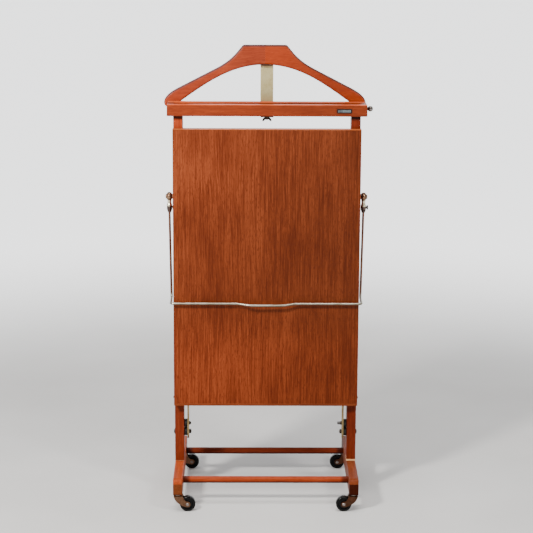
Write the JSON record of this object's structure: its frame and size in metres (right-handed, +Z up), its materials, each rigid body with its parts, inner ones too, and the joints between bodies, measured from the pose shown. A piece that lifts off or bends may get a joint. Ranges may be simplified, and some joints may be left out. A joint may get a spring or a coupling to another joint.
{
  "type": "valet stand",
  "caption": "Wooden valet stand on casters with a broad hanger, a catch-all tray, a tie rod, a trouser press of upright boards and a wire bail that clamps the front board shut.",
  "frame": {"origin": "on the floor, under the middle of the stand", "axes": "+Z up, +Y to the back of the stand, +X to the right of someone standing in front of it"},
  "size_m": [0.4923, 0.35, 1.081],
  "materials": {
    "beech": "satin lacquer, orange-brown beech",
    "beech_dark": "satin lacquer, redder beech",
    "beech_light": "satin lacquer, lighter orange beech",
    "veneer": "satin lacquer over beech veneer with upright grain",
    "plate_metal": "brushed, dark border",
    "brass": "pale gold, satin",
    "steel": "polished, lightly worn",
    "bronze": "bronze lacquer, worn",
    "black_steel": "blackened, satin",
    "black_plastic": "moulded, dull",
    "wheel_black": "moulded, semi-gloss"
  },
  "bodies": {
    "root": {"left_post": "beech", "right_post": "beech", "left_foot": "beech", "right_foot": "beech", "front_crossbar": "beech", "rear_crossbar": "beech", "tray_front_rail": "beech", "tray_back_rail": "beech", "tray_left_end": "beech", "tray_right_end": "beech", "tray_floor": "beech", "back_board": "veneer", "name_plate": "plate_metal", "clamp_bolt": "steel", "clamp_washer": "steel", "left_bail_pin": "bronze", "right_bail_pin": "bronze", "left_pivot_bolt": "black_steel", "right_pivot_bolt": "black_steel", "left_stop_bolt": "black_steel", "right_stop_bolt": "black_steel", "tie_rod_collar": "black_steel", "left_pivot_bush": "black_plastic", "right_pivot_bush": "black_plastic", "left_stop_bush": "black_plastic", "right_stop_bush": "black_plastic", "left_front_caster_stem": "steel", "left_rear_caster_stem": "steel", "right_front_caster_stem": "steel", "right_rear_caster_stem": "steel"},
    "bail": {"bail_rod": "steel", "left_bail_eye": "brass", "right_bail_eye": "brass"},
    "press": {"front_board": "veneer", "left_press_arm": "brass", "right_press_arm": "brass", "left_board_screw": "black_steel", "right_board_screw": "black_steel"},
    "tie_rod": {"tie_rod": "steel", "tie_rod_knob": "steel"},
    "hanger": {"hanger_left_half": "beech_dark", "hanger_right_half": "beech_light", "hanger_strip": "brass", "hanger_left_screw": "steel", "hanger_right_screw": "steel"},
    "wing_nut": {"wing_nut": "black_steel"},
    "left_clamp_screw": {"left_clamp_screw": "black_steel"},
    "right_clamp_screw": {"right_clamp_screw": "black_steel"},
    "left_front_caster": {"left_front_caster_fork": "bronze", "left_front_caster_axle": "steel"},
    "left_front_wheel": {"left_front_caster_wheel": "wheel_black"},
    "left_rear_caster": {"left_rear_caster_fork": "bronze", "left_rear_caster_axle": "steel"},
    "left_rear_wheel": {"left_rear_caster_wheel": "wheel_black"},
    "right_front_caster": {"right_front_caster_fork": "bronze", "right_front_caster_axle": "steel"},
    "right_front_wheel": {"right_front_caster_wheel": "wheel_black"},
    "right_rear_caster": {"right_rear_caster_fork": "bronze", "right_rear_caster_axle": "steel"},
    "right_rear_wheel": {"right_rear_caster_wheel": "wheel_black"}
  },
  "joints": [
    {"name": "bail_lift", "type": "hinge", "parent": "root", "child": "bail", "pos_m": [0, -0.022, 0.73], "axis": [-1, 0, 0], "range_deg": [0, 150]},
    {"name": "press_open", "type": "hinge", "parent": "root", "child": "press", "pos_m": [0, -0.026, 0.153], "axis": [1, 0, 0], "range_deg": [0, 12]},
    {"name": "tie_rod_slide", "type": "slide", "parent": "root", "child": "tie_rod", "axis": [1, 0, 0], "range_m": [0, 0.3]},
    {"name": "hanger_slide", "type": "slide", "parent": "root", "child": "hanger", "axis": [0, 1, 0], "range_m": [0, 0.02]},
    {"name": "wing_nut_turn", "type": "hinge", "parent": "root", "child": "wing_nut", "pos_m": [0, -0.022, 0.91], "axis": [0, 0, 1], "continuous": true},
    {"name": "left_clamp_screw_turn", "type": "hinge", "parent": "bail", "child": "left_clamp_screw", "pos_m": [-0.229, -0.022, 0.7045], "axis": [1, 0, 0], "continuous": true},
    {"name": "right_clamp_screw_turn", "type": "hinge", "parent": "bail", "child": "right_clamp_screw", "pos_m": [0.229, -0.022, 0.7045], "axis": [1, 0, 0], "continuous": true},
    {"name": "left_front_swivel", "type": "hinge", "parent": "root", "child": "left_front_caster", "pos_m": [-0.2075, -0.163, 0.03], "axis": [0, 0, 1], "continuous": true},
    {"name": "left_front_wheel_spin", "type": "hinge", "parent": "left_front_caster", "child": "left_front_wheel", "pos_m": [-0.1845, -0.163, 0.0185], "axis": [0, 1, 0], "continuous": true},
    {"name": "left_rear_swivel", "type": "hinge", "parent": "root", "child": "left_rear_caster", "pos_m": [-0.2075, 0.15, 0.03], "axis": [0, 0, 1], "continuous": true},
    {"name": "left_rear_wheel_spin", "type": "hinge", "parent": "left_rear_caster", "child": "left_rear_wheel", "pos_m": [-0.1845, 0.15, 0.0185], "axis": [0, 1, 0], "continuous": true},
    {"name": "right_front_swivel", "type": "hinge", "parent": "root", "child": "right_front_caster", "pos_m": [0.2075, -0.163, 0.03], "axis": [0, 0, 1], "continuous": true},
    {"name": "right_front_wheel_spin", "type": "hinge", "parent": "right_front_caster", "child": "right_front_wheel", "pos_m": [0.1845, -0.163, 0.0185], "axis": [0, 1, 0], "continuous": true},
    {"name": "right_rear_swivel", "type": "hinge", "parent": "root", "child": "right_rear_caster", "pos_m": [0.2075, 0.15, 0.03], "axis": [0, 0, 1], "continuous": true},
    {"name": "right_rear_wheel_spin", "type": "hinge", "parent": "right_rear_caster", "child": "right_rear_wheel", "pos_m": [0.1845, 0.15, 0.0185], "axis": [0, 1, 0], "continuous": true}
  ],
  "couplings": [
    {"joint": "press_open", "follows": "bail_lift", "ratio": 0.08}
  ]
}
